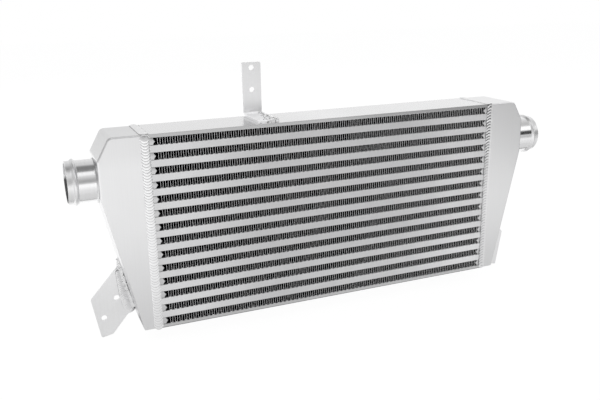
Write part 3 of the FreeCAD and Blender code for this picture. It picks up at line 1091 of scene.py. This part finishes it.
@dataclass
class ChargePipes:
    """The turned pipes with their rolled hose beads.

    Each rounding of the lip has one point between its ends, which is cut back
    and dropped by shares of the rounding's radius.
    """

    shop: FinishShop
    facets: int = 96
    wall: float = 2.0 * MM
    depth_in_tank: float = 6.0 * MM
    bead_height: float = 2.2 * MM
    bead_width: float = 6.4 * MM
    bead_setback: float = 8.5 * MM
    bead_steps: int = 10
    bead_fullness: float = 0.7
    lip_rounding: float = 0.5 * MM
    lip_cut: float = 0.15
    lip_drop: float = 0.3
    bore_share: float = 0.6
    merge: float = 0.01 * MM
    smooth_angle: float = math.radians(35.0)

    def build(self) -> None:
        """Turns both pipes and dresses their mouths and bores."""
        low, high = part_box("charge_pipes")
        axis_height = (low.z + high.z) / 2.0
        radius = (high.z - low.z) / 2.0 - self.bead_height
        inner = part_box("right_tank")[1].x - self.depth_in_tank
        for side in Side:
            mouth = high.x if side is Side.RIGHT else -low.x
            pipe = self._turn(side, inner, mouth, radius, axis_height)
            pipe.data.materials.append(self.shop.metal(TURNED_TUBE))
            rolled = mouth - self.bead_setback - self.bead_width / 2.0
            within = radius - self.bore_share * self.wall
            Bench.dress(pipe, lambda f: abs(f.calc_center_median().x) > rolled,
                        self.shop.metal(FORMED_MOUTH))
            Bench.dress(pipe, lambda f: math.hypot(f.calc_center_median().y,
                                                   f.calc_center_median().z - axis_height) < within,
                        self.shop.metal(SHADED_BORE))
            Bench.hand_over(pipe, "turned_tube", "charge_pipes")

    def _profile(self, inner: float, mouth: float, radius: float) -> list[Pair]:
        """Lists the (distance outwards, radius) points of the wall's section.

        Args:
            inner: The distance of the inner end.
            mouth: The distance of the mouth.
            radius: The tube's outer radius.

        Returns:
            The points from the inner end along the outside, and back along the bore.
        """
        points = [(inner, radius)]
        middle = mouth - self.bead_setback
        for i in range(self.bead_steps + 1):
            share = i / self.bead_steps
            swell = (0.5 - 0.5 * math.cos(2.0 * math.pi * share)) ** self.bead_fullness
            points.append((middle + (share - 0.5) * self.bead_width, radius + self.bead_height * swell))
        lip, bore = self.lip_rounding, radius - self.wall
        outer_lip = [(mouth - lip, radius), (mouth - self.lip_cut * lip, radius - self.lip_drop * lip),
                     (mouth, radius - lip)]
        inner_lip = [(mouth, bore + lip), (mouth - self.lip_cut * lip, bore + self.lip_drop * lip),
                     (mouth - lip, bore)]
        return points + outer_lip + inner_lip + [(inner, bore), (inner, radius)]

    def _turn(self, side: Side, inner: float, mouth: float, radius: float, height: float) -> Piece:
        """Turns one pipe by drawing a ring out along its profile.

        Args:
            side: The end of the core that the pipe serves.
            inner: The distance of its inner end from the middle.
            mouth: The distance of its mouth.
            radius: The tube's outer radius.
            height: The height of its axis.

        Returns:
            The pipe.
        """
        profile = self._profile(inner, mouth, radius)
        place, girth = profile[0]
        Bench.clear()
        bpy.ops.mesh.primitive_circle_add(
            vertices=self.facets, radius=girth, location=(side.value * place, 0.0, height),
            rotation=(0.0, math.pi / 2.0, 0.0))
        pipe = bpy.context.object
        pipe.name = f"{side.word}_charge_pipe"
        Bench.open_edges(pipe)
        for reach, wider in profile[1:]:
            step = side.value * (reach - place)
            bpy.ops.mesh.extrude_edges_move(TRANSFORM_OT_translate={"value": (step, 0.0, 0.0)})
            bpy.ops.transform.resize(value=(1.0, wider / girth, wider / girth),
                                     center_override=(side.value * reach, 0.0, height))
            place, girth = reach, wider
        Bench.face_outwards(self.merge)
        bpy.ops.object.mode_set(mode="OBJECT")
        Bench.smooth(pipe, self.smooth_angle)
        Bench.flatten_shading(pipe)
        return pipe


@dataclass
class PipeWelds:
    """The fillet beads where the charge pipes enter the tanks."""

    shop: FinishShop
    bead: WeldBead = WeldBead(PIPE_WELD_SHADED_ON_TOP, PIPE_WELD_SHADED_ON_TOP, width=3.6 * MM, lift=0.3 * MM,
                              ripple_step=2.0 * MM, ripple_tilt=math.radians(5.0))

    def build(self) -> None:
        """Lays both rings."""
        low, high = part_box("charge_pipes")
        height = (low.z + high.z) / 2.0
        radius = (high.z - low.z) / 2.0 - ChargePipes.bead_height
        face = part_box("right_tank")[1].x
        count = round(2.0 * math.pi * radius / self.bead.ripple_step)
        ripples = []
        for side in Side:
            for i in range(count):
                turn = 2.0 * math.pi * i / count
                out = Vector((0.0, math.cos(turn), math.sin(turn)))
                travel = Vector((0.0, -math.sin(turn), math.cos(turn)))
                centre = Vector((side.value * face, 0.0, height)) + out * radius
                outward = (out + Vector((side.value, 0.0, 0.0))).normalized()
                ripples.append(Ripple(centre, travel, outward))
        self.bead.lay(self.shop, "pipe_weld_beads", ripples, "pipe_welds")


@dataclass
class Plates:
    """The folded and cut plates, copied from the frame and given soft edges."""

    shop: FinishShop
    tank_rounding: float = 1.0 * MM
    bracket_rounding: float = 0.5 * MM
    sheet_rounding: float = 0.2 * MM
    foot_height: float = 4.0 * MM
    merge: float = 0.002 * MM
    flat_angle: float = math.radians(1.0)
    sharp_angle: float = math.radians(35.0)
    smooth_angle: float = math.radians(40.0)

    def build(self) -> None:
        """Dresses the tanks, the brackets and the top end sheet."""
        for side, tank in ((Side.LEFT, LEFT_TANK), (Side.RIGHT, RIGHT_TANK)):
            self._hand_over(f"{side.word}_tank", tank, "tank_plate", self.tank_rounding)
            self._hand_over(f"{side.word}_lower_bracket", BRACKET_PLATE, "bracket_plate",
                            self.bracket_rounding)
        self._hand_over("top_bracket", TOP_BRACKET_PLATE, "bracket_plate", self.bracket_rounding,
                        SCOURED_FOOT)
        self._hand_over("top_end_sheet", TOP_SHEET, "core_bar", self.sheet_rounding)

    def _hand_over(self, node: str, finish: Finish, slot: str, rounding: float,
                   foot_finish: Finish | None = None) -> None:
        """Dresses one plate and hands it over.

        Args:
            node: The CAD node that it stands for.
            finish: Its finish.
            slot: The record's material slot.
            rounding: The radius of its edges.
            foot_finish: The finish of its lowest layer, where it has another one.
        """
        piece = self._softened(node, rounding)
        piece.data.materials.clear()
        piece.data.materials.append(self.shop.metal(finish))
        if foot_finish is not None:
            level = min(corner[2] for corner in piece.bound_box) + self.foot_height
            Bench.dress(piece, lambda f: f.calc_center_median().z < level, self.shop.metal(foot_finish))
        Bench.hand_over(piece, slot, node)

    def _softened(self, node: str, rounding: float) -> Piece:
        """Copies a CAD node as a free piece with rounded edges.

        Args:
            node: The CAD node.
            rounding: The radius of the edges.

        Returns:
            The copy.
        """
        piece = Bench.copy(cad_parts[node], f"{node}_dressed", Matrix.Identity(4))
        for key in list(piece.keys()):
            del piece[key]
        piece.parent = None
        Bench.pick(piece)
        bpy.ops.object.mode_set(mode="EDIT")
        bpy.ops.mesh.select_all(action="SELECT")
        bpy.ops.mesh.remove_doubles(threshold=self.merge)
        bpy.ops.mesh.dissolve_limited(angle_limit=self.flat_angle)
        bpy.ops.object.mode_set(mode="OBJECT")
        Bench.round_edges(piece, rounding, self.sharp_angle)
        Bench.smooth(piece, self.smooth_angle)
        Bench.flatten_shading(piece)
        return piece


@dataclass(frozen=True)
class Lamp:
    """A square soft lamp: its place, the length of its side and its power."""

    name: str
    place: Triple
    side: float
    power: float


@dataclass
class Studio:
    """The floor, the lamps, the walls that the metal mirrors, and the camera.

    The bands and tones are gray stops, each a place and a tone. Those of the
    walls are counted over the top from the horizon in front, and those of the
    floor forwards from a line behind the part.
    """

    azimuth: float = math.radians(-22.48)
    elevation: float = math.radians(16.22)
    roll: float = math.radians(-0.98)
    lens: float = 42.97
    sensor: float = 36.0
    shift: float = 0.001
    clip: float = 0.01
    place: Triple = (-0.3658, -0.8018, 0.3758)
    backdrop: Colour = (1.0, 1.0, 1.0, 1.0)
    soft_light: Colour = (0.62, 0.62, 0.63, 1.0)
    box_slope: float = 0.73
    bands_meet: Pair = (0.12, 0.58)
    left_bands: Stops = (
        (0.0, 0.64), (0.045, 0.64), (0.075, 0.38), (0.24, 0.82), (0.275, 1.15), (0.355, 1.15),
        (0.395, 0.22), (0.55, 0.22), (0.64, 0.75), (0.90, 0.90))
    right_bands: Stops = (
        (0.0, 0.85), (0.15, 0.85), (0.175, 0.03), (0.28, 0.03), (0.33, 1.3), (0.45, 1.3),
        (0.49, 0.62), (0.61, 0.62), (0.70, 0.75), (0.90, 1.0))
    floor_size: float = 12.0
    floor_colour: Colour = (0.86, 0.86, 0.86, 1.0)
    floor_glow: float = 0.93
    glow_strength: float = 1.03
    mirrored_strength: float = 1.23
    floor_line: float = 0.19
    # Painted shadow of the part on the floor, seen only in the mirrors, with painted shade far out to the
    # right and painted light far out to the left.
    floor_tones: Stops = (
        (0.00, 0.95), (0.13, 0.90), (0.143, 0.28), (0.168, 0.28), (0.18, 0.62), (0.31, 0.65),
        (0.38, 0.73), (0.50, 0.78), (0.62, 0.88), (0.74, 0.935), (0.87, 1.0))
    floor_right_reach: Pair = (0.60, 0.95)
    floor_right_levels: Pair = (1.0, 0.5)
    floor_left_reach: Pair = (-0.36, -0.42)
    floor_left_levels: Pair = (1.0, 1.12)
    lamps: tuple[Lamp, ...] = (Lamp("key", (-1.1, -1.7, 1.5), 1.6, 26.0),
                               Lamp("fill", (1.6, -1.4, 0.9), 1.4, 9.0),
                               Lamp("back", (0.3, 1.8, 1.6), 1.8, 18.0))
    target: Triple = (0.0, 0.0, 0.115)

    def build(self) -> None:
        """Sets everything up."""
        bpy.context.scene.view_settings.view_transform = "Standard"
        self._camera()
        self._world()
        self._floor()
        self._lamps()

    def _camera(self) -> None:
        """Puts the camera where the picture was taken from."""
        a, e, r = self.azimuth, self.elevation, self.roll
        back = Vector((math.sin(a) * math.cos(e), -math.cos(a) * math.cos(e), math.sin(e)))
        level = Vector((0.0, 0.0, 1.0)).cross(back).normalized()
        upright = back.cross(level)
        right = math.cos(r) * level + math.sin(r) * upright
        above = math.cos(r) * upright - math.sin(r) * level
        data = bpy.data.cameras.new("camera")
        data.lens = self.lens
        data.shift_x = self.shift
        data.sensor_width = self.sensor
        data.clip_start = self.clip
        camera = bpy.data.objects.new("camera", data)
        turn = Matrix((right, above, back)).transposed().to_4x4()
        camera.matrix_world = Matrix.Translation(self.place) @ turn
        bpy.context.scene.collection.objects.link(camera)
        bpy.context.scene.camera = camera

    def _world(self) -> None:
        """Makes a white backdrop for the camera, banded walls for the mirrors and soft light."""
        world = bpy.data.worlds.new("studio")
        bpy.context.scene.world = world
        world.use_nodes = True
        wiring = Wiring(world.node_tree)
        soft = world.node_tree.nodes["Background"]
        wiring.feed(soft.inputs["Color"], self.soft_light)
        white = wiring.node("Background", {"Color": self.backdrop})
        banded = wiring.node("Background", {"Color": self._walls(wiring)})
        path = wiring.node("LightPath").outputs
        seen = wiring.math("MAXIMUM", path["Is Camera Ray"], path["Is Transmission Ray"])
        lit = wiring.blended(path["Is Glossy Ray"], soft.outputs["Background"],
                             banded.outputs["Background"])
        surface = wiring.blended(seen, lit, white.outputs["Background"])
        wiring.feed(world.node_tree.nodes["World Output"].inputs["Surface"], surface)

    def _walls(self, wiring: Wiring) -> Socket:
        """Shades the walls and soft boxes that the metal mirrors, by direction.

        The soft box in front hangs lower towards the right.

        Args:
            wiring: The wiring of the world.

        Returns:
            The tone.
        """
        ray = wiring.node("TexCoord").outputs["Generated"]
        way = wiring.node("SeparateXYZ", {"Vector": ray}).outputs
        over = wiring.math("ARCTAN2", way["Z"], wiring.math("MULTIPLY", way["Y"], -1.0))
        sunk = wiring.math("MULTIPLY_ADD", way["X"], self.box_slope, over)
        turn = wiring.ranged(sunk, (0.0, math.pi))
        aside = wiring.ranged(way["X"], self.bands_meet)
        left, right = (wiring.banded(turn, bands) for bands in (self.left_bands, self.right_bands))
        return wiring.mixed(aside, left, right)

    def _floor(self) -> None:
        """Lays a plain pale floor under the lowest bracket tip, with tones of its own for the mirrors."""
        Bench.clear()
        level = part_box("left_lower_bracket")[0].z
        bpy.ops.mesh.primitive_plane_add(size=self.floor_size, location=(0.0, 0.0, level))
        floor = bpy.context.object
        floor.name = "floor"
        material = bpy.data.materials.new("pale_floor")
        material.use_nodes = True
        nodes = material.node_tree.nodes
        nodes.remove(nodes["Principled BSDF"])
        wiring = Wiring(material.node_tree)
        matt = wiring.node("BsdfDiffuse", {"Color": self.floor_colour})
        white = wiring.node("Emission", {"Strength": self.glow_strength})
        # The mirrored emission carries the painted shadow of the part.
        mirrored = wiring.node("Emission", {"Strength": self.mirrored_strength,
                                            "Color": self._floor_tone(wiring)})
        path = wiring.node("LightPath").outputs
        seen = wiring.math("MULTIPLY", path["Is Camera Ray"], self.floor_glow)
        lit = wiring.blended(seen, matt.outputs["BSDF"], white.outputs["Emission"])
        surface = wiring.blended(path["Is Glossy Ray"], lit, mirrored.outputs["Emission"])
        wiring.feed(nodes["Material Output"].inputs["Surface"], surface)
        floor.data.materials.append(material)

    def _floor_tone(self, wiring: Wiring) -> Socket:
        """Shades the floor for the mirrors.

        It is darkest in a band under the part's rear edge, a painted shadow of the part, and
        dim far out to the right and lighter far out to the left, painted shade and light.

        Args:
            wiring: The wiring of the floor's material.

        Returns:
            The tone.
        """
        spot = wiring.node("SeparateXYZ", {"Vector": wiring.node("TexCoord").outputs["Object"]}).outputs
        away = wiring.math("SUBTRACT", self.floor_line, spot["Y"])
        right = wiring.ranged(spot["X"], self.floor_right_reach, self.floor_right_levels,
                              interpolation_type="SMOOTHSTEP")
        left = wiring.ranged(spot["X"], self.floor_left_reach, self.floor_left_levels)
        return wiring.scaled(wiring.banded(away, self.floor_tones), wiring.math("MULTIPLY", right, left))

    def _lamps(self) -> None:
        """Hangs the soft lamps round the object."""
        for lamp in self.lamps:
            data = bpy.data.lights.new(lamp.name, "AREA")
            data.shape = "SQUARE"
            data.size = lamp.side
            data.energy = lamp.power
            hung = bpy.data.objects.new(lamp.name, data)
            hung.visible_glossy = False
            bpy.context.scene.collection.objects.link(hung)
            aim = (Vector(self.target) - Vector(lamp.place)).to_track_quat("-Z", "Y")
            hung.matrix_world = Matrix.Translation(lamp.place) @ aim.to_matrix().to_4x4()


def main() -> None:
    """Builds the part and the studio."""
    logging.basicConfig(level=logging.INFO, format="%(name)s: %(message)s")
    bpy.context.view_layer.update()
    shop = FinishShop()
    for assembly in (CarriedNodes, CoolingFins, EndBars, SeamWelds, ChargePipes, PipeWelds,
                     BracketWelds, Plates):
        assembly(shop).build()
    Studio().build()


if __name__ == "__main__":
    main()
